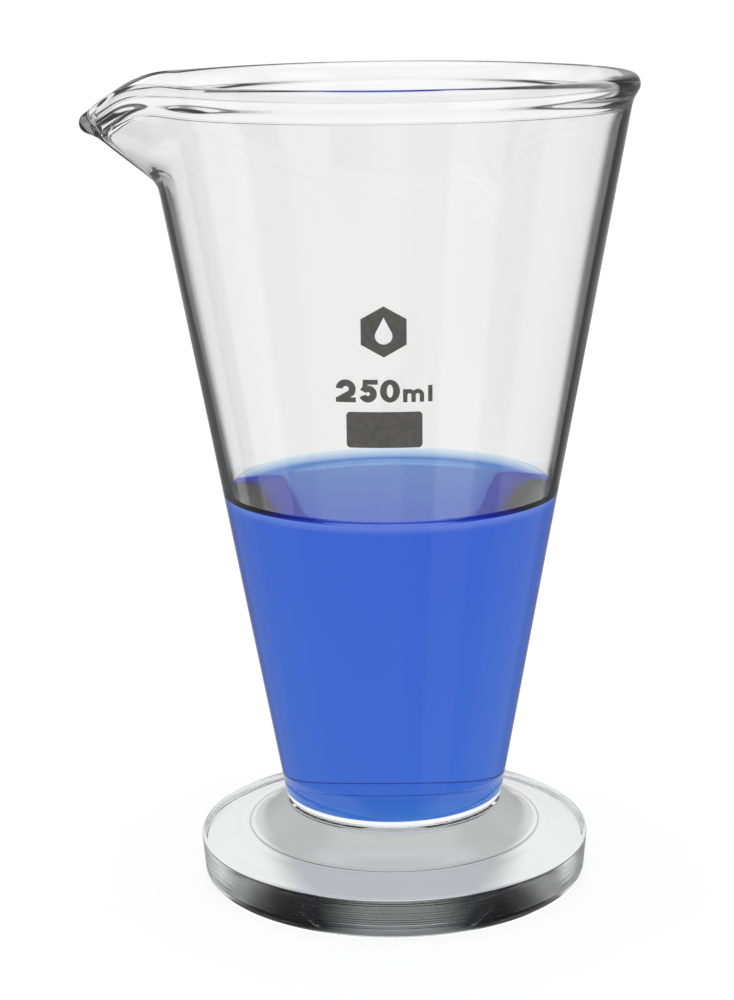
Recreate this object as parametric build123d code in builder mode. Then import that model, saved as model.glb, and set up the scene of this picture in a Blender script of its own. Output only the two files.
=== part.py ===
from build123d import *

import os
from math import acos, atan, atan2, cos, hypot, radians, sin, sqrt, tan

# A conical measuring glass of 250 ml: a tapering blown bowl with a beaded rim and a pulled pouring spout,
# fused by a glass collar to a heavy pressed foot, with fired enamel prints and about 107 ml of dyed water.
# The origin is on the bowl's axis at the underside of the foot. +Z is up and the spout points along -X.

# Driving dimensions, in millimetres and degrees
FOOT_RADIUS = 36.6  # at the upper edge of the side wall
FOOT_BASE_RADIUS = 35.9  # the side wall draws in towards the bench
FOOT_EDGE_HEIGHT = 8.0
FOOT_LOWER_ROUND = 1.2
FOOT_UPPER_ROUND = 0.7
BOSS_RADIUS = 26.0
BOSS_EDGE_HEIGHT = 9.35
BOSS_TOP_HEIGHT = 13.9
COLLAR_RADIUS = 20.5
COLLAR_HEIGHT = 0.5

CONE_RADIUS_AT_BENCH = 17.64  # the bowl's outer wall, carried on down to the bench
CONE_SLOPE = 0.1789  # growth of the radius per millimetre of height
WALL = 1.4
FLOOR_HEIGHT = 15.5  # inside bottom of the bowl
FLOOR_ROUND = 1.0
SHOULDER_HEIGHT = 19.0  # below this the outer wall stands nearly upright
RIM_HEIGHT = 146.7  # centre of the rim's bead
BEAD_RADIUS = 1.9
BEAD_INSET = 1.1  # the bead's centre lies this far inside the outer wall

SPOUT_ROOT_HEIGHT = 130.0  # where the underside of the spout leaves the cone
SPOUT_RISE = 36.7  # slope of that underside above the horizontal
SPOUT_ROOT_ROUND = 10.0  # plan radius of the channel where it begins
SPOUT_TIP_ROUND = 1.5  # plan radius that the channel would reach at the top of the loft
SPOUT_TOP_HEIGHT = 150.0  # top of the loft, above the rim
SPOUT_START = 0.1  # the loft begins this far above the root, where its tip is just outside the cone
SPOUT_SECTOR = 60.0  # beyond this turn from its centre line the spout adds nothing to the body
FLANK_RUN_IN = 12.0  # the flanks are carried on round the body by this angle
ROOT_DEPTH = 0.97  # and end inside it, at this share of its radius
LIP_BEND_START = 40.0  # distance from the axis where the lip begins to bend down
LIP_BEND_RADIUS = 14.0
LIP_REACH = 52.3  # centre of the bead at the spout's tip
LIP_TURNS = (0, 8, 16, 24, 32, 44)  # directions of the lip's points, from the spout's centre line
LIP_ROUNDS = 40  # rounds in which the height and the reach of a lip point agree

LIQUID_HEIGHT = 73.0
MENISCUS_RISE = 1.8
MENISCUS_WIDTH = 3.4

ENAMEL = 0.1  # thickness of the fired prints
PRINT_OFFSET = -1.3  # the prints' centre line lies a little left of the front
SPOT_SIZE = (12.8, 6.4)
SPOT_HEIGHT = 91.6
SPOT_ROUND = 0.7
TEXT_BASE = 96.5
TEXT_WIDTH = 16.2
FIGURE_HEIGHT = 4.0
FIGURE_WIDTH = 3.35
FIGURE_PITCH = 3.7
FIGURE_STROKE = 1.15
LEVEL_STROKE = 0.85  # bars and feet are thinner than stems
HOOK_RADIUS = 1.1  # the round top of the 2
HOOK_START, HOOK_SWEEP = 175, -215
BAR_WIDTH = 2.5  # the top bar of the 5
STEM_LEAN = 0.2
LOOP_RADIUS = 0.92  # the round bottom of the 5
LOOP_START, LOOP_SWEEP = 150, -310
UNIT_GAP = 0.15  # extra space before the unit
LETTER_HEIGHT = 2.3
LETTER_TALL = 2.9
LETTER_PITCH = 1.4
LETTER_STROKE = 0.74
EMBLEM_HEIGHT = 108.8
EMBLEM_RADIUS = 4.4
DROP_RADIUS = 1.45
DROP_BASE = -0.7  # centre of the drop's round end, from the emblem's centre
DROP_TOP = 2.5

WALL_ACROSS = WALL / cos(atan(CONE_SLOPE))  # the wall's thickness measured level
COLLAR_TOP = BOSS_TOP_HEIGHT + COLLAR_HEIGHT

os.makedirs("parts", exist_ok=True)


def outer_radius(height):
    return CONE_RADIUS_AT_BENCH + CONE_SLOPE * height


def inner_radius(height):
    return outer_radius(height) - WALL_ACROSS


# Plan of the bowl and spout at one height: a round body and a small round tip, joined by straight flanks.
def spout_plan(height, inset):
    share = (height - SPOUT_ROOT_HEIGHT) / (SPOUT_TOP_HEIGHT - SPOUT_ROOT_HEIGHT)
    reach = outer_radius(SPOUT_ROOT_HEIGHT) + (height - SPOUT_ROOT_HEIGHT) / tan(radians(SPOUT_RISE))
    tip = SPOUT_ROOT_ROUND + (SPOUT_TIP_ROUND - SPOUT_ROOT_ROUND) * share
    return outer_radius(height) - inset, reach - tip, tip - inset


# The two corners of one flank of the spout in plan: where it begins inside the body, and where it meets the tip.
def spout_flank(height, inset):
    body, tip_centre, tip = spout_plan(height, inset)
    flank = acos((body - tip) / tip_centre)
    root = flank + radians(FLANK_RUN_IN)
    near = (-ROOT_DEPTH * body * cos(root), ROOT_DEPTH * body * sin(root))
    far = (-tip_centre - tip * cos(flank), tip * sin(flank))
    return near, far


# Distance from the axis to that plan, in the direction turned from the spout's centre line.
def plan_radius(turn, height, inset):
    body, tip_centre, tip = spout_plan(height, inset)
    if height <= SPOUT_ROOT_HEIGHT or tip_centre + tip <= body:
        return body
    near, far = spout_flank(height, inset)
    if abs(turn) <= atan2(far[1], -far[0]):
        return tip_centre * cos(turn) + sqrt(tip**2 - (tip_centre * sin(turn)) ** 2)
    along = (far[0] - near[0], far[1] - near[1])
    ray = (-cos(turn), abs(sin(turn)))
    flank = (near[0] * along[1] - near[1] * along[0]) / (ray[0] * along[1] - ray[1] * along[0])
    return max(body, flank) if abs(turn) < radians(SPOUT_SECTOR) else body


# Height of the rim above the bench at a distance out towards the spout: level, then bent down.
def rim_height(out):
    bend = radians(SPOUT_RISE)
    past = out - LIP_BEND_START
    bend_width = LIP_BEND_RADIUS * sin(bend)
    if past <= 0:
        return RIM_HEIGHT
    if past <= bend_width:
        return RIM_HEIGHT - LIP_BEND_RADIUS + sqrt(LIP_BEND_RADIUS**2 - past**2)
    return RIM_HEIGHT - LIP_BEND_RADIUS * (1 - cos(bend)) - (past - bend_width) * tan(bend)


# A point on the bead's centre line, turned from the spout's centre line.
def rim_point(turn):
    height = RIM_HEIGHT
    for _ in range(LIP_ROUNDS):
        distance = min(plan_radius(turn, height, BEAD_INSET), LIP_REACH / cos(turn))
        height = (height + rim_height(distance * cos(turn))) / 2
    return Vector(-distance * cos(turn), distance * sin(turn), height)


# foot: pressed disc with a conical boss
with BuildPart() as foot:
    with BuildSketch(Plane.XZ):
        with BuildLine():
            Polyline(
                (0, 0),
                (FOOT_BASE_RADIUS, 0),
                (FOOT_RADIUS, FOOT_EDGE_HEIGHT),
                (BOSS_RADIUS, BOSS_EDGE_HEIGHT),
                (COLLAR_RADIUS, BOSS_TOP_HEIGHT),
                (0, BOSS_TOP_HEIGHT),
                close=True,
            )
        make_face()
    revolve(axis=Axis.Z)
    rings = foot.edges().filter_by(GeomType.CIRCLE).sort_by(SortBy.RADIUS)
    fillet(rings[-1], FOOT_UPPER_ROUND)
    fillet(foot.edges().group_by(Axis.Z)[0].filter_by(GeomType.CIRCLE), FOOT_LOWER_ROUND)
foot.part.label = "foot"
export_step(foot.part, "parts/foot.step")

# fused_collar: the wafer of glass between the foot and the bowl
with BuildPart() as fused_collar:
    with BuildSketch(Plane.XY.offset(BOSS_TOP_HEIGHT)):
        Circle(COLLAR_RADIUS)
    extrude(amount=COLLAR_HEIGHT)
fused_collar.part.label = "fused_collar"
export_step(fused_collar.part, "parts/fused_collar.step")

# space_inside: the hollow of the bowl and its spout, cut from the bowl
with BuildPart() as space_inside:
    with BuildSketch(Plane.XZ):
        with BuildLine():
            Polyline(
                (0, FLOOR_HEIGHT),
                (inner_radius(FLOOR_HEIGHT), FLOOR_HEIGHT),
                (inner_radius(SPOUT_TOP_HEIGHT), SPOUT_TOP_HEIGHT),
                (0, SPOUT_TOP_HEIGHT),
                close=True,
            )
        make_face()
    revolve(axis=Axis.Z)
    fillet(space_inside.edges().group_by(Axis.Z)[0].filter_by(GeomType.CIRCLE), FLOOR_ROUND)


# Wedge that stands out of the bowl's body as its spout, each plan drawn in by the inset. Its flanks begin
# inside the body, so that they cross the cone at a definite angle.
def spout_block(inset):
    with BuildPart() as block:
        for height in (SPOUT_ROOT_HEIGHT + SPOUT_START, SPOUT_TOP_HEIGHT):
            body, tip_centre, tip = spout_plan(height, inset)
            near, far = spout_flank(height, inset)
            with BuildSketch(Plane.XY.offset(height)):
                with BuildLine():
                    Line(near, (near[0], -near[1]))
                    Line((near[0], -near[1]), (far[0], -far[1]))
                    ThreePointArc((far[0], -far[1]), (-tip_centre - tip, 0), far)
                    Line(far, near)
                make_face()
        loft(ruled=True)
    return block.part


# rim_bead: a round rod of glass along the rim, made as one half and mirrored
with BuildPart() as rim_bead:
    lip_points = [rim_point(radians(turn)) for turn in LIP_TURNS]
    lip_end = lip_points[-1]
    rim_radius = hypot(lip_end.X, lip_end.Y)
    with BuildLine() as rim_line:
        Spline(*lip_points, tangents=((0, 1, 0), (lip_end.Y, -lip_end.X, 0)))
        ThreePointArc(lip_end, (0, rim_radius, RIM_HEIGHT), (rim_radius, 0, RIM_HEIGHT))
    with BuildSketch(Plane(origin=lip_points[0], z_dir=(0, 1, 0))):
        Circle(BEAD_RADIUS)
    sweep(path=rim_line.wires()[0])
    mirror(about=Plane.XZ)

# bowl: blown cone with a pulled spout and a beaded rim
with BuildPart() as bowl:
    with BuildSketch(Plane.XZ):
        with BuildLine():
            Polyline(
                (0, COLLAR_TOP),
                (COLLAR_RADIUS, COLLAR_TOP),
                (outer_radius(SHOULDER_HEIGHT), SHOULDER_HEIGHT),
                (outer_radius(SPOUT_TOP_HEIGHT), SPOUT_TOP_HEIGHT),
                (0, SPOUT_TOP_HEIGHT),
                close=True,
            )
        make_face()
    revolve(axis=Axis.Z)
    add(spout_block(0))
    add(space_inside.part, mode=Mode.SUBTRACT)
    add(spout_block(WALL_ACROSS), mode=Mode.SUBTRACT)
    # the rim, seen from the side: level, then bent down over the spout
    bend = radians(SPOUT_RISE)
    bend_end = LIP_BEND_START + LIP_BEND_RADIUS * sin(bend)
    bend_middle = LIP_BEND_START + LIP_BEND_RADIUS * sin(bend / 2)
    beyond = 2 * LIP_REACH
    with BuildSketch(Plane.XZ):
        with BuildLine():
            Line((beyond, RIM_HEIGHT), (-LIP_BEND_START, RIM_HEIGHT))
            ThreePointArc(
                (-LIP_BEND_START, RIM_HEIGHT),
                (-bend_middle, rim_height(bend_middle)),
                (-bend_end, rim_height(bend_end)),
            )
            Polyline(
                (-bend_end, rim_height(bend_end)),
                (-beyond, rim_height(beyond)),
                (-beyond, beyond * 2),
                (beyond, beyond * 2),
                (beyond, RIM_HEIGHT),
            )
        make_face()
    extrude(amount=beyond, both=True, mode=Mode.SUBTRACT)
    add(rim_bead.part)
bowl.part.label = "bowl"
export_step(bowl.part, "parts/bowl.step")

# liquid: the dyed water, with its surface drawn up where it meets the wall
with BuildPart() as liquid:
    contact_height = LIQUID_HEIGHT + MENISCUS_RISE
    contact = (inner_radius(contact_height), contact_height)
    level_edge = (inner_radius(contact_height) - MENISCUS_WIDTH, LIQUID_HEIGHT)
    with BuildSketch(Plane.XZ):
        with BuildLine():
            Polyline((0, LIQUID_HEIGHT), (0, FLOOR_HEIGHT), (inner_radius(FLOOR_HEIGHT), FLOOR_HEIGHT), contact)
            TangentArc(level_edge, contact, tangent=(1, 0))
            Line(level_edge, (0, LIQUID_HEIGHT))
        make_face()
    revolve(axis=Axis.Z)
    fillet(liquid.edges().group_by(Axis.Z)[0].filter_by(GeomType.CIRCLE), FLOOR_ROUND)
liquid.part.label = "liquid"
export_step(liquid.part, "parts/liquid.step")

# enamel_layer: a thin skin over the front of the cone, from which each print is cut
with BuildPart() as enamel_layer:
    with BuildSketch(Plane.XZ):
        with BuildLine():
            Polyline(
                (outer_radius(LIQUID_HEIGHT), LIQUID_HEIGHT),
                (outer_radius(SPOUT_ROOT_HEIGHT), SPOUT_ROOT_HEIGHT),
                (outer_radius(SPOUT_ROOT_HEIGHT) + ENAMEL, SPOUT_ROOT_HEIGHT),
                (outer_radius(LIQUID_HEIGHT) + ENAMEL, LIQUID_HEIGHT),
                close=True,
            )
        make_face()
    revolve(axis=Axis.Z)


# A print's drawing plane, seen from the front, with its origin at a height on the prints' centre line
def print_plane(height):
    return Plane(origin=(PRINT_OFFSET, -FOOT_RADIUS * 2, height), x_dir=(1, 0, 0), z_dir=(0, -1, 0))


# marking_spot: the enamel patch to write on
with BuildPart() as marking_spot:
    with BuildSketch(print_plane(SPOT_HEIGHT)):
        RectangleRounded(*SPOT_SIZE, SPOT_ROUND)
    extrude(amount=-2 * FOOT_RADIUS)
    add(enamel_layer.part, mode=Mode.INTERSECT)
marking_spot.part.label = "marking_spot"
export_step(marking_spot.part, "parts/marking_spot.step")

# capacity_print: the figures 250 and the unit ml
with BuildPart() as capacity_print:
    with BuildSketch(print_plane(TEXT_BASE)):
        # the figure 2: a hook, a diagonal and a foot
        left = -TEXT_WIDTH / 2
        hook_centre = (left + FIGURE_WIDTH / 2, FIGURE_HEIGHT - HOOK_RADIUS - FIGURE_STROKE / 2)
        with BuildLine():
            hook = CenterArc(hook_centre, HOOK_RADIUS, HOOK_START, HOOK_SWEEP)
            Line(hook @ 1, (left + FIGURE_STROKE / 2, LEVEL_STROKE / 2))
        trace(line_width=FIGURE_STROKE)
        with Locations((left + FIGURE_WIDTH / 2, LEVEL_STROKE / 2)):
            Rectangle(FIGURE_WIDTH, LEVEL_STROKE)
        # the figure 5: a bar, a stem and a loop
        left += FIGURE_PITCH
        with Locations((left + FIGURE_WIDTH - BAR_WIDTH / 2, FIGURE_HEIGHT - LEVEL_STROKE / 2)):
            Rectangle(BAR_WIDTH, LEVEL_STROKE)
        stem_side = left + FIGURE_WIDTH - BAR_WIDTH + LEVEL_STROKE / 2
        with BuildLine():
            Line((stem_side, FIGURE_HEIGHT - LEVEL_STROKE / 2), (stem_side - STEM_LEAN, FIGURE_HEIGHT / 2))
        trace(line_width=LEVEL_STROKE)
        with BuildLine():
            loop_centre = (left + FIGURE_WIDTH / 2, LOOP_RADIUS + FIGURE_STROKE / 2)
            CenterArc(loop_centre, LOOP_RADIUS, LOOP_START, LOOP_SWEEP)
        trace(line_width=FIGURE_STROKE)
        # the figure 0
        left += FIGURE_PITCH
        with Locations((left + FIGURE_WIDTH / 2, FIGURE_HEIGHT / 2)):
            Ellipse(FIGURE_WIDTH / 2, FIGURE_HEIGHT / 2)
            Ellipse(FIGURE_WIDTH / 2 - FIGURE_STROKE, FIGURE_HEIGHT / 2 - LEVEL_STROKE, mode=Mode.SUBTRACT)
        # the letter m: three stems and two arches
        left += FIGURE_PITCH + UNIT_GAP
        arch_radius = LETTER_PITCH / 2
        arch_height = LETTER_HEIGHT - arch_radius - LETTER_STROKE / 2
        for stem in range(3):
            height = LETTER_HEIGHT if stem == 0 else arch_height
            with Locations((left + LETTER_STROKE / 2 + stem * LETTER_PITCH, height / 2)):
                Rectangle(LETTER_STROKE, height)
        for arch in range(2):
            centre = left + LETTER_STROKE / 2 + (arch + 0.5) * LETTER_PITCH
            with BuildLine():
                CenterArc((centre, arch_height), arch_radius, 0, 180)
            trace(line_width=LETTER_STROKE)
        # the letter l
        with Locations((TEXT_WIDTH / 2 - LETTER_STROKE / 2, LETTER_TALL / 2)):
            Rectangle(LETTER_STROKE, LETTER_TALL)
    extrude(amount=-2 * FOOT_RADIUS)
    add(enamel_layer.part, mode=Mode.INTERSECT)
capacity_print.part.label = "capacity_print"
export_step(capacity_print.part, "parts/capacity_print.step")

# emblem_print: a plain hexagon with a drop left clear in it
with BuildPart() as emblem_print:
    with BuildSketch(print_plane(EMBLEM_HEIGHT)):
        RegularPolygon(EMBLEM_RADIUS, 6, rotation=30)
        lean = acos(DROP_RADIUS / (DROP_TOP - DROP_BASE))
        shoulder = (DROP_RADIUS * sin(lean), DROP_BASE + DROP_RADIUS * cos(lean))
        with BuildLine():
            Line((0, DROP_TOP), shoulder)
            ThreePointArc(shoulder, (0, DROP_BASE - DROP_RADIUS), (-shoulder[0], shoulder[1]))
            Line((-shoulder[0], shoulder[1]), (0, DROP_TOP))
        make_face(mode=Mode.SUBTRACT)
    extrude(amount=-2 * FOOT_RADIUS)
    add(enamel_layer.part, mode=Mode.INTERSECT)
emblem_print.part.label = "emblem_print"
export_step(emblem_print.part, "parts/emblem_print.step")
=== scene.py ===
from math import acos, atan, atan2, cos, degrees, exp, pi, radians, sin, sqrt, tan

import bpy
from mathutils import Matrix, Vector


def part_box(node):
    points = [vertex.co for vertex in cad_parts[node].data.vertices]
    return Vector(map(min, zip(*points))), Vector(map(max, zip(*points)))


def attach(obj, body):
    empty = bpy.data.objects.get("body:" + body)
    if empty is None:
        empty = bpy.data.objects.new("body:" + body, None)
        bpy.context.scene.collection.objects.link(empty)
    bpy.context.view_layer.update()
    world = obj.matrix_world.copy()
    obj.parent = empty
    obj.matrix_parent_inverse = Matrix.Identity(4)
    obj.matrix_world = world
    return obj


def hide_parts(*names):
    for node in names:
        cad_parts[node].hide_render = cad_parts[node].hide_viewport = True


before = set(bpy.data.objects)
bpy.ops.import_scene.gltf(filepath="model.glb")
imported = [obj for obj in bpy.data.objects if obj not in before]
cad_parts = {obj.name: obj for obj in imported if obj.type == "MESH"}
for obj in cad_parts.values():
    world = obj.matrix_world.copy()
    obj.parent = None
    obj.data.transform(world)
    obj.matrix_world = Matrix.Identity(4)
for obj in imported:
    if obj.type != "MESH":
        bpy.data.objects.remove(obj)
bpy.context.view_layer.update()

MM = 0.001

# ---------------------------------------------------------------- sizes, in millimetres, from the frame

bowl_low, bowl_high = (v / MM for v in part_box("bowl"))
foot_low, foot_high = (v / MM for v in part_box("foot"))
collar_low, collar_high = (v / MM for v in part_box("fused_collar"))
liquid_low, liquid_high = (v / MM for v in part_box("liquid"))

FOOT_RADIUS = foot_high.x
FOOT_TOP = foot_high.z
COLLAR_RADIUS = collar_high.x
COLLAR_TOP = collar_high.z
BEAD_RADIUS = 1.9
RIM_RADIUS = bowl_high.x - BEAD_RADIUS  # the bead's centre line
RIM_HEIGHT = bowl_high.z - BEAD_RADIUS
LIP_REACH = -bowl_low.x - BEAD_RADIUS  # centre of the bead at the spout's tip
WALL = 1.4
CONE_SLOPE = 0.1789
CONE_ANGLE = atan(CONE_SLOPE)
WALL_ACROSS = WALL / cos(CONE_ANGLE)
BEAD_INSET = 1.1
CONE_AT_BENCH = RIM_RADIUS + BEAD_INSET - CONE_SLOPE * RIM_HEIGHT
FLOOR_HEIGHT = liquid_low.z
CONTACT_HEIGHT = liquid_high.z
MENISCUS_RISE = 1.8
LIQUID_LEVEL = CONTACT_HEIGHT - MENISCUS_RISE
SHOULDER_HEIGHT = 19.0
FLOOR_ROUND = 1.0
BOWL_CORNER = 1.4  # outer round at the bottom of the bowl
JOINT_GAP = 0.03  # between pieces that are fused
LIQUID_GAP = 0.02  # between the liquid and the glass

SPOUT_ROOT = 130.0
SPOUT_RISE = radians(36.7)
SPOUT_ROOT_ROUND = 10.0
SPOUT_TIP_ROUND = 1.5
SPOUT_TOP = 150.0
LIP_BEND_START = 40.0
LIP_BEND_RADIUS = 14.0
# distances below the bead's centre at which the wall is sampled, closer together near the bead
LIP_STEPS = (8.0, 6.8, 5.6, 4.6, 3.8, 3.1, 2.5, 2.0, 1.6, 1.2, 0.9, 0.6, 0.3, 0.0)
SPOUT_FOOT = SPOUT_ROOT - 12

FOOT_BASE = 35.9  # radius at the bench
FOOT_EDGE = 8.0
FOOT_LOWER_ROUND = 1.2
FOOT_UPPER_ROUND = 0.7
FOOT_SLOPE = 0.127  # from the edge up to the boss
RIPPLE = 0.010
RIPPLE_PITCH = 0.42

GLASS_INDEX = 1.47
WATER_INDEX = 1.333
SEATED_INDEX = 1.10  # the foot's underside against what it stands on, found by trial

# faces along a section, which decide its material slots
WALL_ROWS = 18
ROUND_ROWS = 12
UNDERSIDE_ROWS = 4


def cone(z):
    return CONE_AT_BENCH + CONE_SLOPE * z


# ---------------------------------------------------------------- mesh helpers

def mesh_object(name, points, faces, slots=None):
    """A smooth mesh object from points in millimetres. slots gives each face's material index."""
    mesh = bpy.data.meshes.new(name)
    mesh.from_pydata([(x * MM, y * MM, z * MM) for x, y, z in points], [], faces)
    mesh.validate()
    for i, polygon in enumerate(mesh.polygons):
        polygon.use_smooth = True
        if slots:
            polygon.material_index = slots[i]
    made = bpy.data.objects.new(name, mesh)
    bpy.context.scene.collection.objects.link(made)
    return made


def lathe(name, turns, section, slot_of=None):
    """A closed body from section(turn), a list of (radius, height) that starts and ends on the axis."""
    columns = [section(turn) for turn in turns]
    count = len(columns[0])
    points = [(0.0, 0.0, columns[0][0][1])]
    for turn, column in zip(turns, columns):
        points += [(-r * cos(turn), r * sin(turn), z) for r, z in column[1:-1]]
    points.append((0.0, 0.0, columns[0][-1][1]))
    inner = count - 2
    last = len(points) - 1
    faces, slots = [], []
    for i in range(len(turns)):
        here, there = 1 + i * inner, 1 + ((i + 1) % len(turns)) * inner
        faces.append((0, here, there))
        slots.append(slot_of(0) if slot_of else 0)
        for j in range(inner - 1):
            faces.append((here + j, here + j + 1, there + j + 1, there + j))
            slots.append(slot_of(j + 1) if slot_of else 0)
        faces.append((here + inner - 1, last, there + inner - 1))
        slots.append(slot_of(inner) if slot_of else 0)
    return mesh_object(name, points, faces, slots)


def arc_points(centre, radius, first, last, steps):
    """Points of an arc in a section, from one angle to another, in degrees from the outward direction."""
    angles = [radians(first + (last - first) * i / steps) for i in range(steps + 1)]
    return [(centre[0] + radius * cos(a), centre[1] + radius * sin(a)) for a in angles]


def even_turns(count):
    return [2 * pi * i / count for i in range(count)]


def smooth_max(a, b, width):
    share = max(0.0, width - abs(a - b)) / width
    return max(a, b) + share * share * width / 4


def mix(a, b, share):
    return a + (b - a) * share


# ---------------------------------------------------------------- bowl

def spout_radius(turn, z, inset):
    """Distance from the axis to the spout's plan at a height. Off the spout it lies inside the cone."""
    share = (z - SPOUT_ROOT) / (SPOUT_TOP - SPOUT_ROOT)
    body = cone(z) - inset
    reach = cone(SPOUT_ROOT) + (z - SPOUT_ROOT) / tan(SPOUT_RISE)
    tip = mix(SPOUT_ROOT_ROUND, SPOUT_TIP_ROUND, share)
    centre = reach - tip
    tip -= inset
    turn = abs(turn)
    round_end = centre * cos(turn) + sqrt(max(0.0, tip * tip - (centre * sin(turn)) ** 2))
    if centre <= 0 or (body - tip) / centre >= 1:
        return round_end
    flank = acos((body - tip) / centre)
    root = flank + radians(12.0)
    near = Vector((-0.97 * body * cos(root), 0.97 * body * sin(root)))
    far = Vector((-centre - tip * cos(flank), tip * sin(flank)))
    if turn <= atan2(far.y, -far.x):
        return round_end
    along = (far - near).normalized()
    normal = Vector((along.y, -along.x))
    if normal.dot(far) < 0:
        normal = -normal
    facing = atan2(normal.y, -normal.x)
    return normal.dot(far) / cos(min(turn, facing) - facing)


def wall_radius(turn, z, inset):
    turn = (turn + pi) % (2 * pi) - pi
    body = cone(z) - inset
    if abs(turn) > radians(75) or z < SPOUT_ROOT - 12:
        return body
    return smooth_max(body, spout_radius(turn, z, inset), 1.6)


def lip_drop(out):
    past = out - LIP_BEND_START
    width = LIP_BEND_RADIUS * sin(SPOUT_RISE)
    if past <= 0:
        return 0.0
    if past <= width:
        return LIP_BEND_RADIUS - sqrt(LIP_BEND_RADIUS ** 2 - past ** 2)
    return LIP_BEND_RADIUS * (1 - cos(SPOUT_RISE)) + (past - width) * tan(SPOUT_RISE)


def rim_centre(turn):
    """Radius and height of the bead's centre in one direction."""
    turn = (turn + pi) % (2 * pi) - pi
    z = RIM_HEIGHT
    for _ in range(40):
        r = wall_radius(turn, z, BEAD_INSET)
        if abs(turn) < 1:
            r = min(r, LIP_REACH / cos(turn))
        z = (z + RIM_HEIGHT - lip_drop(r * cos(turn))) / 2
    return r, z


def bowl_turns():
    """Directions round the bowl from the spout, closer together over the spout."""
    fine = [0.5 * i for i in range(-30, 31)]
    middle = [15.0 + i for i in range(1, 51)]
    coarse = [65.0 + i for i in range(1, 230)]
    return [radians(d) for d in fine + middle + coarse + [-d for d in reversed(middle)]]


def waves(turn, z):
    """Slight unevenness of blown glass, in millimetres."""
    slow = 0.030 * sin(2 * turn + 0.6 + z / 31) + 0.020 * sin(3 * turn + 2.0 - z / 17)
    return slow + 0.008 * sin(8 * turn + 1.0 + z / 9)


def levels(low, high, count):
    """Heights from low to high, without the last one."""
    return [low + (high - low) * i / count for i in range(count)]


def wall_side(turn, inset, side, breaks):
    """One face of the wall in section, up to the bead, with the fillet that joins them.

    side is 1 for the outer face and -1 for the inner one. breaks are (low, high, rows) below the lip.
    """
    centre_r, centre_z = rim_centre(turn)
    rise = Vector((wall_radius(turn, centre_z + 0.5, inset) - wall_radius(turn, centre_z - 0.5, inset), 1.0))
    rise.normalize()
    out = Vector((rise.y, -rise.x)) * side
    off = (wall_radius(turn, centre_z, inset) - centre_r) * out.x
    settled = min(off, BEAD_INSET) if side > 0 else max(off, -0.15)
    root_z = centre_z + off * out.y
    bump = BEAD_RADIUS - settled
    width = sqrt(2 * BEAD_RADIUS * bump) * (1.0 if side > 0 else 0.85)
    heights = []
    for low, high, count in breaks:
        heights += levels(low, high, count)
    heights += levels(breaks[-1][1], root_z - LIP_STEPS[0] * rise.y, 12)
    heights += [root_z - s * rise.y for s in LIP_STEPS]
    points = []
    for z in heights:
        s = (root_z - z) / rise.y
        uneven = waves(turn + side, z) * min(1.0, s / 8)
        shift = bump * exp(-((s / width) ** 2)) + (settled - off) * exp(-((s / 7) ** 2))
        points.append((wall_radius(turn, z, inset) + side * uneven + shift * out.x, z + shift * out.y))
    return points, degrees(atan2(out.y, out.x)), (centre_r, centre_z)


def floor_round(inset, floor):
    """The rounded corner between the inner wall and the floor, from the wall down to the floor."""
    centre_z = floor + FLOOR_ROUND
    centre_r = cone(centre_z) - inset - FLOOR_ROUND / cos(CONE_ANGLE)
    return arc_points((centre_r, centre_z), FLOOR_ROUND, -degrees(CONE_ANGLE), -90, ROUND_ROWS)


def bowl_section(turn):
    low = COLLAR_TOP + JOINT_GAP
    bottom = [(0.0, low), (8.0, low), (15.0, low)]
    bottom += arc_points((COLLAR_RADIUS - BOWL_CORNER, low + BOWL_CORNER), BOWL_CORNER, -90, 0, 12)
    outer_breaks = [(SHOULDER_HEIGHT, CONTACT_HEIGHT, WALL_ROWS), (CONTACT_HEIGHT, SPOUT_FOOT, 14)]
    outer, start, centre = wall_side(turn, 0.0, 1, outer_breaks)
    inner_round = floor_round(WALL_ACROSS, FLOOR_HEIGHT)
    inner_breaks = [(inner_round[0][1], CONTACT_HEIGHT, WALL_ROWS), (CONTACT_HEIGHT, SPOUT_FOOT, 14)]
    inner, end, _ = wall_side(turn, WALL_ACROSS, -1, inner_breaks)
    bead = arc_points(centre, BEAD_RADIUS, start, end % 360, 16)[1:-1]
    floor = [(12.0, FLOOR_HEIGHT), (6.0, FLOOR_HEIGHT), (0.0, FLOOR_HEIGHT)]
    return bottom + outer + bead + inner[::-1] + inner_round[1:] + floor


FLOOR_ROWS = 3
wet_from = len(bowl_section(0.3)) - FLOOR_ROWS - ROUND_ROWS - WALL_ROWS - 1


def bowl_slot(j):
    """0 is plain glass, 1 the fused bottom and 2 the part of the inside that the liquid wets."""
    if j <= 2:
        return 1
    return 2 if j >= wet_from else 0


bowl = lathe("bowl_glass", bowl_turns(), bowl_section, bowl_slot)

# ---------------------------------------------------------------- foot

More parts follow.
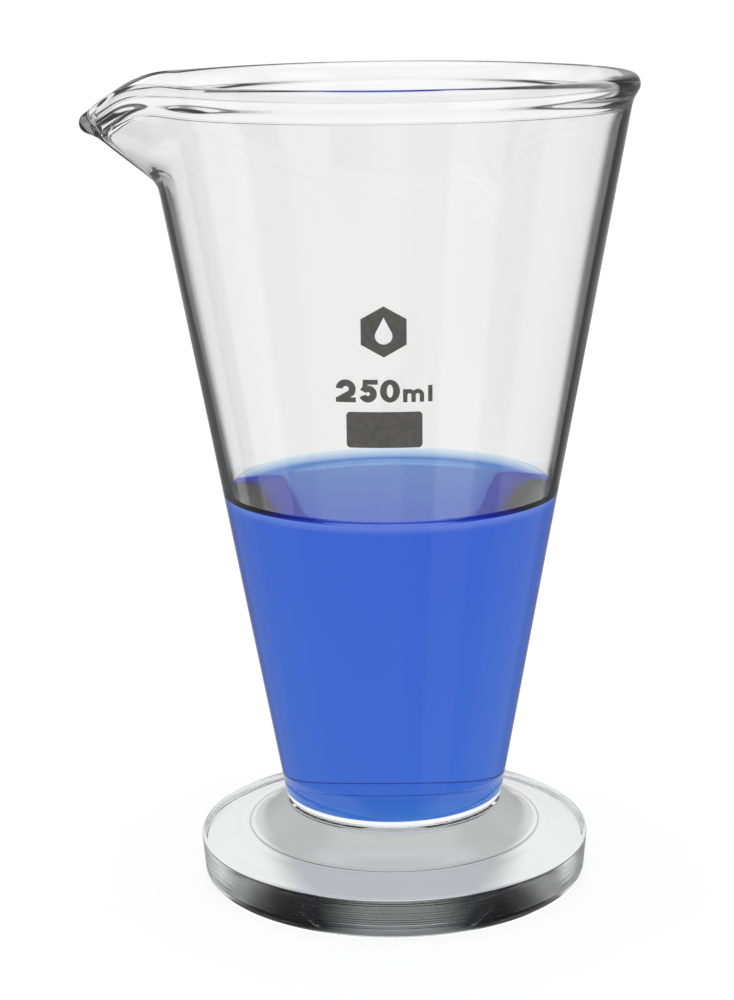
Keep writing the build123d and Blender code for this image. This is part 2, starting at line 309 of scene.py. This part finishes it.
def foot_section(turn):
    top = FOOT_TOP - JOINT_GAP
    points = [(0.0, 0.0), (10.0, 0.0), (20.0, 0.0), (30.0, 0.0)]
    points += arc_points((FOOT_BASE - FOOT_LOWER_ROUND, FOOT_LOWER_ROUND), FOOT_LOWER_ROUND, -90, -5, 8)
    side_low, side_high = 1.3, 7.3
    count = 84
    for i in range(count + 1):
        z = side_low + (side_high - side_low) * i / count
        fade = min(1.0, i / 12, (count - i) / 12)
        uneven = 0.4 * sin(3 * turn + 1) + 0.3 * sin(5 * turn + z)
        fine = sin(2 * pi * z / RIPPLE_PITCH + uneven)
        broad = 0.6 * sin(2 * pi * z / 1.1 + uneven)
        ripple = RIPPLE * fade * (fine + broad)
        points.append((mix(FOOT_BASE, FOOT_RADIUS, z / FOOT_EDGE) + ripple, z))
    points += arc_points((FOOT_RADIUS - 0.75, side_high), FOOT_UPPER_ROUND, 5, 95, 8)
    # the top rises a little to the boss, over a soft ring
    for r in (34.5, 33.0, 31.0, 30.2, 29.6, 29.0, 28.4, 27.8, 27.2):
        ring = 0.10 * exp(-(((r - 28.9) / 0.6) ** 2))
        points.append((r, FOOT_EDGE + (FOOT_RADIUS - r) * FOOT_SLOPE + ring))
    points += arc_points((27.3, 11.4), 2.1, 270, 230, 8)
    points += [(25.0, 10.2), (24.0, 11.0), (23.0, 11.85), (22.0, 12.7), (21.3, 13.25)]
    points += [(20.9, 13.55), (20.6, 13.78), (20.3, 13.84), (20.0, top)]
    points += [(15.0, top), (8.0, top), (0.0, top)]
    return points


foot_count = len(foot_section(0.0))


def foot_slot(j):
    """0 is plain glass, 1 the fused top of the boss and 2 the underside."""
    if j < UNDERSIDE_ROWS:
        return 2
    return 1 if j >= foot_count - 4 else 0


foot = lathe("foot_glass", even_turns(360), foot_section, foot_slot)

# ---------------------------------------------------------------- fused collar

def collar_section(turn):
    low, high = FOOT_TOP + JOINT_GAP, COLLAR_TOP - JOINT_GAP
    half = (high - low) / 2
    points = [(0.0, low), (8.0, low), (15.0, low)]
    points += arc_points((COLLAR_RADIUS - 0.3, (low + high) / 2), half, -90, 90, 12)
    points += [(15.0, high), (8.0, high), (0.0, high)]
    return points


def collar_slot(j):
    return 1 if j < 3 or j > 14 else 0


collar = lathe("collar_glass", even_turns(240), collar_section, collar_slot)

# ---------------------------------------------------------------- liquid

LIQUID_SIDE_ROWS = 24  # faces up the liquid's side


def liquid_section(turn):
    inset = WALL_ACROSS + LIQUID_GAP
    low = FLOOR_HEIGHT + LIQUID_GAP
    points = [(0.0, low), (6.0, low), (12.0, low)]
    side = floor_round(inset, low)[::-1]
    points += side
    for i in range(1, LIQUID_SIDE_ROWS + 1):
        z = mix(side[-1][1], CONTACT_HEIGHT, i / LIQUID_SIDE_ROWS)
        points.append((cone(z) - inset - waves(turn - 1, z), z))
    edge = points[-1][0]
    for d in (0.05, 0.15, 0.3, 0.5, 0.75, 1.05, 1.4, 1.8, 2.3, 2.9, 3.6, 4.5, 6.0, 9.0, 14.0, 20.0):
        points.append((edge - d, LIQUID_LEVEL + MENISCUS_RISE * exp(-d / 1.25)))
    points.append((0.0, LIQUID_LEVEL))
    return points


def liquid_slot(j):
    """0 is the top surface and 1 the sides and bottom."""
    return 0 if j >= FLOOR_ROWS + ROUND_ROWS + LIQUID_SIDE_ROWS else 1


liquid = lathe("blue_liquid", bowl_turns(), liquid_section, liquid_slot)

# ---------------------------------------------------------------- materials

def material(name):
    made = bpy.data.materials.new(name)
    made.use_nodes = True
    return made, made.node_tree.nodes, made.node_tree.links


def noise_between(nodes, links, scale, low, high, stretch=(1, 1, 1)):
    """A soft noise between two colours, in object coordinates."""
    place = nodes.new("ShaderNodeTexCoord")
    mapping = nodes.new("ShaderNodeMapping")
    mapping.inputs["Scale"].default_value = stretch
    noise = nodes.new("ShaderNodeTexNoise")
    noise.inputs["Scale"].default_value = scale
    noise.inputs["Detail"].default_value = 3.0
    ramp = nodes.new("ShaderNodeValToRGB")
    ramp.color_ramp.elements[0].position = 0.35
    ramp.color_ramp.elements[1].position = 0.65
    ramp.color_ramp.elements[0].color = (*low, 1)
    ramp.color_ramp.elements[1].color = (*high, 1)
    links.new(place.outputs["Object"], mapping.inputs["Vector"])
    links.new(mapping.outputs["Vector"], noise.inputs["Vector"])
    links.new(noise.outputs["Fac"], ramp.inputs["Fac"])
    return ramp.outputs["Color"]


def clear(name, ior, low, high, roughness=0.0, scale=60.0, stretch=(1, 1, 0.2)):
    """A see-through material whose tint drifts between two colours."""
    made, nodes, links = material(name)
    shader = nodes["Principled BSDF"]
    shader.inputs["Transmission Weight"].default_value = 1.0
    shader.inputs["IOR"].default_value = ior
    shader.inputs["Roughness"].default_value = roughness
    links.new(noise_between(nodes, links, scale, low, high, stretch), shader.inputs["Base Color"])
    return made


blown = clear("blown_glass", GLASS_INDEX, (0.925, 0.926, 0.924), (0.942, 0.943, 0.942))
pressed = clear("pressed_glass", GLASS_INDEX, (0.93, 0.945, 0.945), (0.96, 0.965, 0.965))
joined = clear("fused_joint", 1.0, (0.99, 0.99, 0.99), (1.0, 1.0, 1.0))
seated = clear("seated_glass", SEATED_INDEX, (0.93, 0.945, 0.945), (0.96, 0.965, 0.965))
wetted = clear("wetted_glass", GLASS_INDEX / WATER_INDEX, (0.99, 0.99, 0.99), (1.0, 1.0, 1.0))


def water(name, ior):
    """Dyed water: most of the colour is at its surface, paler in the thin edge that climbs the wall."""
    made, nodes, links = material(name)
    shader = nodes["Principled BSDF"]
    shader.inputs["Transmission Weight"].default_value = 1.0
    shader.inputs["IOR"].default_value = ior
    shader.inputs["Roughness"].default_value = 0.0
    place = nodes.new("ShaderNodeTexCoord")
    split = nodes.new("ShaderNodeSeparateXYZ")
    depth = nodes.new("ShaderNodeMapRange")
    depth.inputs["From Min"].default_value = CONTACT_HEIGHT * MM
    depth.inputs["From Max"].default_value = (LIQUID_LEVEL - 0.8) * MM
    body = noise_between(nodes, links, 40.0, (0.050, 0.198, 0.655), (0.053, 0.208, 0.670), (1, 1, 0.3))
    blend = nodes.new("ShaderNodeMix")
    blend.data_type = "RGBA"
    blend.inputs["A"].default_value = (0.80, 0.97, 1.0, 1)
    links.new(place.outputs["Object"], split.inputs["Vector"])
    links.new(split.outputs["Z"], depth.inputs["Value"])
    links.new(depth.outputs["Result"], blend.inputs["Factor"])
    links.new(body, blend.inputs["B"])
    links.new(blend.outputs["Result"], shader.inputs["Base Color"])
    absorb = nodes.new("ShaderNodeVolumeAbsorption")
    absorb.inputs["Color"].default_value = (0.625, 0.0, 1.0, 1)
    absorb.inputs["Density"].default_value = 8.0
    links.new(absorb.outputs["Volume"], nodes["Material Output"].inputs["Volume"])
    return made


water_top = water("water_surface", WATER_INDEX)
water_side = water("water_side", 1.0)


def enamel_material():
    made, nodes, links = material("fired_enamel")
    shader = nodes["Principled BSDF"]
    shader.inputs["Roughness"].default_value = 0.55
    speckle = noise_between(nodes, links, 900.0, (0.105, 0.104, 0.095), (0.135, 0.133, 0.122))
    links.new(speckle, shader.inputs["Base Color"])
    return made


for piece, slots in (
    (bowl, (blown, joined, wetted)),
    (foot, (pressed, joined, seated)),
    (collar, (pressed, joined)),
    (liquid, (water_top, water_side)),
):
    for m in slots:
        piece.data.materials.append(m)

enamel = enamel_material()
for node in ("marking_spot", "capacity_print", "emblem_print"):
    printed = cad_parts[node]
    printed.data.materials.clear()
    printed.data.materials.append(enamel)

for piece, node, slot in (
    (bowl, "bowl", "blown_glass"),
    (foot, "foot", "pressed_glass"),
    (collar, "fused_collar", "pressed_glass"),
    (liquid, "liquid", "dyed_water"),
):
    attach(piece, "root")
    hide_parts(node)

# ---------------------------------------------------------------- stage

# Transmission depths from Light Path. A ray that crossed the liquid has passed through more than four
# surfaces, and one that was reflected inside a single body and left it has passed through two.
LIQUID_DEPTH = 4.5
ONE_BODY_DEPTH = 2.0

# The shade under the foot is a painted shadow: grey where seen straight through the foot, near white at its
# edge.
SHADE_GREY = 0.56  # seen directly through the foot
SHADE_EDGE = 0.96
SHADE_REACH = (0.022, 0.040)  # metres to the left and right, and to the front and back
WHITE = 1.04

# Brightness round the horizon as (angle in degrees from +X towards +Y, brightness).
# Refracted rays: white backdrops at -45, 90, 135 and 180, each opposite a viewing direction.
# From directions in between, the glass has a dark gap or a half-bright part behind it.
AROUND = (
    (-180, 1), (-167, 1), (-164, 0.03), (-145, 0.03), (-140, 0.5), (-85, 0.5), (-80, 0.03),
    (-61, 0.03), (-58, 1), (-32, 1), (-29, 0.03), (-10, 0.03), (-5, 0.5), (50, 0.5), (55, 0.03),
    (74, 0.03), (77, 1), (103, 1), (106, 0.03), (119, 0.03), (122, 1), (148, 1), (151, 0.03),
    (164, 0.03), (167, 1), (180, 1),
)
# Reflected rays, apart from the next kind: dimmer and softer.
AROUND_SOFT = (
    (-180, 0.3), (-85, 0.35), (-75, 0.25), (-63, 0.25), (-58, 0.4), (-32, 0.4), (-27, 0.25),
    (-15, 0.25), (0, 0.35), (40, 0.35), (50, 0.20), (70, 0.20), (82, 0.45), (98, 0.45),
    (110, 0.20), (119, 0.20), (124, 0.3), (180, 0.3),
)
# Rays reflected inside one body: dark behind the glass as seen from the front.
AROUND_INNER = (
    (-180, 1), (-167, 1), (-164, 0.03), (-145, 0.03), (-140, 0.5), (-85, 0.5), (-80, 0.03),
    (-61, 0.03), (-58, 1), (-32, 1), (-29, 0.03), (-10, 0.03), (-5, 0.9), (40, 0.9), (46, 0.0),
    (70, 0.0), (82, 0.26), (98, 0.26), (110, 0.0), (134, 0.0), (138, 1), (148, 1), (151, 0.03),
    (164, 0.03), (167, 1), (180, 1),
)
# Brightness by elevation in degrees.
UP_THE_WALL = ((-90, 0.05), (-75, 0.1), (-60, 1), (28, 1), (36, 0.03), (90, 0.03))
OVERHEAD = ((-90, 0), (52, 0), (62, 1.5), (90, 1.5))


def stage_disc(name, radius, z, base, glow):
    """A flat glowing disc that belongs to the stage."""
    count = 96
    points = [(0.0, 0.0, z)] + [
        (radius * cos(2 * pi * i / count), radius * sin(2 * pi * i / count), z) for i in range(count)
    ]
    faces = [(0, 1 + i, 1 + (i + 1) % count) for i in range(count)]
    made = mesh_object(name, points, faces)
    paint, nodes, links = material(name)
    shader = nodes["Principled BSDF"]
    shader.inputs["Base Color"].default_value = (base, base, base, 1)
    shader.inputs["Roughness"].default_value = 1.0
    shader.inputs["Specular IOR Level"].default_value = 0.0
    shader.inputs["Emission Color"].default_value = (1, 1, 1, 1)
    shader.inputs["Emission Strength"].default_value = glow
    made.data.materials.append(paint)
    return made


stage_floor = stage_disc("studio_floor", 8000.0, -0.05, 0.30, 0.84)
stage_floor.visible_transmission = False
stage_floor.visible_glossy = False
# Painted shadow: a glowing grey disc under the foot, seen only through the glass, that stands in for the
# foot's own shadow.
stage_shade = stage_disc("shade_under_foot", 35.5, -0.04, 0.0, 0.60)
stage_shade.visible_camera = False
stage_shade.visible_glossy = False


def ramp_of(nodes, bands, low, high):
    """A colour ramp whose stops are (angle in degrees, brightness)."""
    ramp = nodes.new("ShaderNodeValToRGB")
    elements = ramp.color_ramp.elements
    while len(elements) < len(bands):
        elements.new(0.5)
    for element, (angle, bright) in zip(elements, bands):
        element.position = (angle - low) / (high - low)
        element.color = (bright, bright, bright, 1)
    return ramp


def math_node(nodes, links, operation, first, second=None):
    """A Math node's output. first and second are numbers or sockets."""
    made = nodes.new("ShaderNodeMath")
    made.operation = operation
    for i, value in enumerate((first, second)):
        if value is None:
            continue
        if isinstance(value, (int, float)):
            made.inputs[i].default_value = value
        else:
            links.new(value, made.inputs[i])
    return made.outputs["Value"]


def soft_edge(disc):
    """Give the shade its brightness by a ray's history, fading to white at the left and right.

    It is grey for direct rays, a painted shadow of the foot, black for reflected ones, a painted dark band
    in the foot, and white for those that crossed the liquid, painted light.
    """
    nodes, links = disc.data.materials[0].node_tree.nodes, disc.data.materials[0].node_tree.links
    place = nodes.new("ShaderNodeTexCoord")
    squash = nodes.new("ShaderNodeMapping")
    squash.inputs["Scale"].default_value = (1 / SHADE_REACH[0], 1 / SHADE_REACH[1], 0)
    reach = nodes.new("ShaderNodeVectorMath")
    reach.operation = "LENGTH"
    glow = nodes.new("ShaderNodeMapRange")
    glow.interpolation_type = "SMOOTHSTEP"
    glow.inputs["From Min"].default_value = 0.85
    glow.inputs["From Max"].default_value = 1.15
    path = nodes.new("ShaderNodeLightPath")
    mirrored = math_node(nodes, links, "GREATER_THAN", path.outputs["Glossy Depth"], 0.5)
    depth = path.outputs["Transmission Depth"]
    through_liquid = math_node(nodes, links, "GREATER_THAN", depth, LIQUID_DEPTH)
    dim = math_node(nodes, links, "MULTIPLY_ADD", mirrored, -SHADE_GREY)
    dim.node.inputs[2].default_value = SHADE_GREY
    middle = math_node(nodes, links, "MAXIMUM", dim, through_liquid)
    links.new(middle, glow.inputs["To Min"])
    glow.inputs["To Max"].default_value = SHADE_EDGE
    links.new(place.outputs["Object"], squash.inputs["Vector"])
    links.new(squash.outputs["Vector"], reach.inputs[0])
    links.new(reach.outputs["Value"], glow.inputs["Value"])
    links.new(glow.outputs["Result"], nodes["Principled BSDF"].inputs["Emission Strength"])


soft_edge(stage_shade)


def studio_world():
    """White backdrops with dark gaps, and a soft light overhead, by what a ray has been through."""
    world = bpy.data.worlds.new("studio")
    world.use_nodes = True
    nodes, links = world.node_tree.nodes, world.node_tree.links
    place = nodes.new("ShaderNodeTexCoord")
    split = nodes.new("ShaderNodeSeparateXYZ")
    links.new(place.outputs["Generated"], split.inputs["Vector"])
    rise = math_node(nodes, links, "ARCSINE", split.outputs["Z"])
    turn = math_node(nodes, links, "ARCTAN2", split.outputs["Y"], split.outputs["X"])
    rise_share = math_node(nodes, links, "MULTIPLY_ADD", rise, 1 / pi)
    rise_share.node.inputs[2].default_value = 0.5
    turn_share = math_node(nodes, links, "MULTIPLY_ADD", turn, 0.5 / pi)
    turn_share.node.inputs[2].default_value = 0.5
    low = ramp_of(nodes, UP_THE_WALL, -90, 90)
    around = ramp_of(nodes, AROUND, -180, 180)
    high = ramp_of(nodes, OVERHEAD, -90, 90)
    links.new(rise_share, low.inputs["Fac"])
    links.new(turn_share, around.inputs["Fac"])
    links.new(rise_share, high.inputs["Fac"])
    path = nodes.new("ShaderNodeLightPath")
    mirrored = math_node(nodes, links, "GREATER_THAN", path.outputs["Glossy Depth"], 0.5)
    twice = math_node(nodes, links, "COMPARE", path.outputs["Transmission Depth"], ONE_BODY_DEPTH)
    twice.node.inputs[2].default_value = 0.5
    inside_one = math_node(nodes, links, "MULTIPLY", mirrored, twice)
    even = math_node(nodes, links, "SUBTRACT", mirrored, inside_one)
    smooth = nodes.new("ShaderNodeMix")
    links.new(even, smooth.inputs["Factor"])
    links.new(around.outputs["Color"], smooth.inputs["A"])
    soft = ramp_of(nodes, AROUND_SOFT, -180, 180)
    links.new(turn_share, soft.inputs["Fac"])
    links.new(soft.outputs["Color"], smooth.inputs["B"])
    inner = ramp_of(nodes, AROUND_INNER, -180, 180)
    links.new(turn_share, inner.inputs["Fac"])
    sides = nodes.new("ShaderNodeMix")
    links.new(inside_one, sides.inputs["Factor"])
    links.new(smooth.outputs["Result"], sides.inputs["A"])
    links.new(inner.outputs["Color"], sides.inputs["B"])
    wall = math_node(nodes, links, "MULTIPLY", low.outputs["Color"], sides.outputs["Result"])
    lit = math_node(nodes, links, "MAXIMUM", wall, high.outputs["Color"])
    depth = path.outputs["Transmission Depth"]
    through_liquid = math_node(nodes, links, "GREATER_THAN", depth, LIQUID_DEPTH)
    plain = math_node(nodes, links, "MAXIMUM", path.outputs["Is Camera Ray"], through_liquid)
    pick = nodes.new("ShaderNodeMix")
    links.new(plain, pick.inputs["Factor"])
    links.new(lit, pick.inputs["A"])
    pick.inputs["B"].default_value = 1.0
    links.new(pick.outputs["Result"], nodes["Background"].inputs["Color"])
    nodes["Background"].inputs["Strength"].default_value = WHITE
    bpy.context.scene.world = world


studio_world()

# ---------------------------------------------------------------- camera

CAMERA_PLACE = (-4.4, -422.0, 173.7)
CAMERA_DIP = 0.2381  # radians below the horizon
CAMERA_ROLL = -0.743  # degrees


def photo_camera():
    lens = bpy.data.cameras.new("camera")
    lens.lens = 84.82
    lens.sensor_width = 36.0
    lens.clip_start = 0.01
    camera = bpy.data.objects.new("camera", lens)
    bpy.context.scene.collection.objects.link(camera)
    place = Matrix.Translation(Vector(CAMERA_PLACE) * MM)
    pitch = Matrix.Rotation(pi / 2 - CAMERA_DIP, 4, "X")
    roll = Matrix.Rotation(radians(CAMERA_ROLL), 4, "Z")
    camera.matrix_world = place @ pitch @ roll
    bpy.context.scene.camera = camera


photo_camera()

scene = bpy.context.scene
scene.view_settings.view_transform = "Standard"
scene.cycles.max_bounces = 32
scene.cycles.transmission_bounces = 32
scene.cycles.glossy_bounces = 16
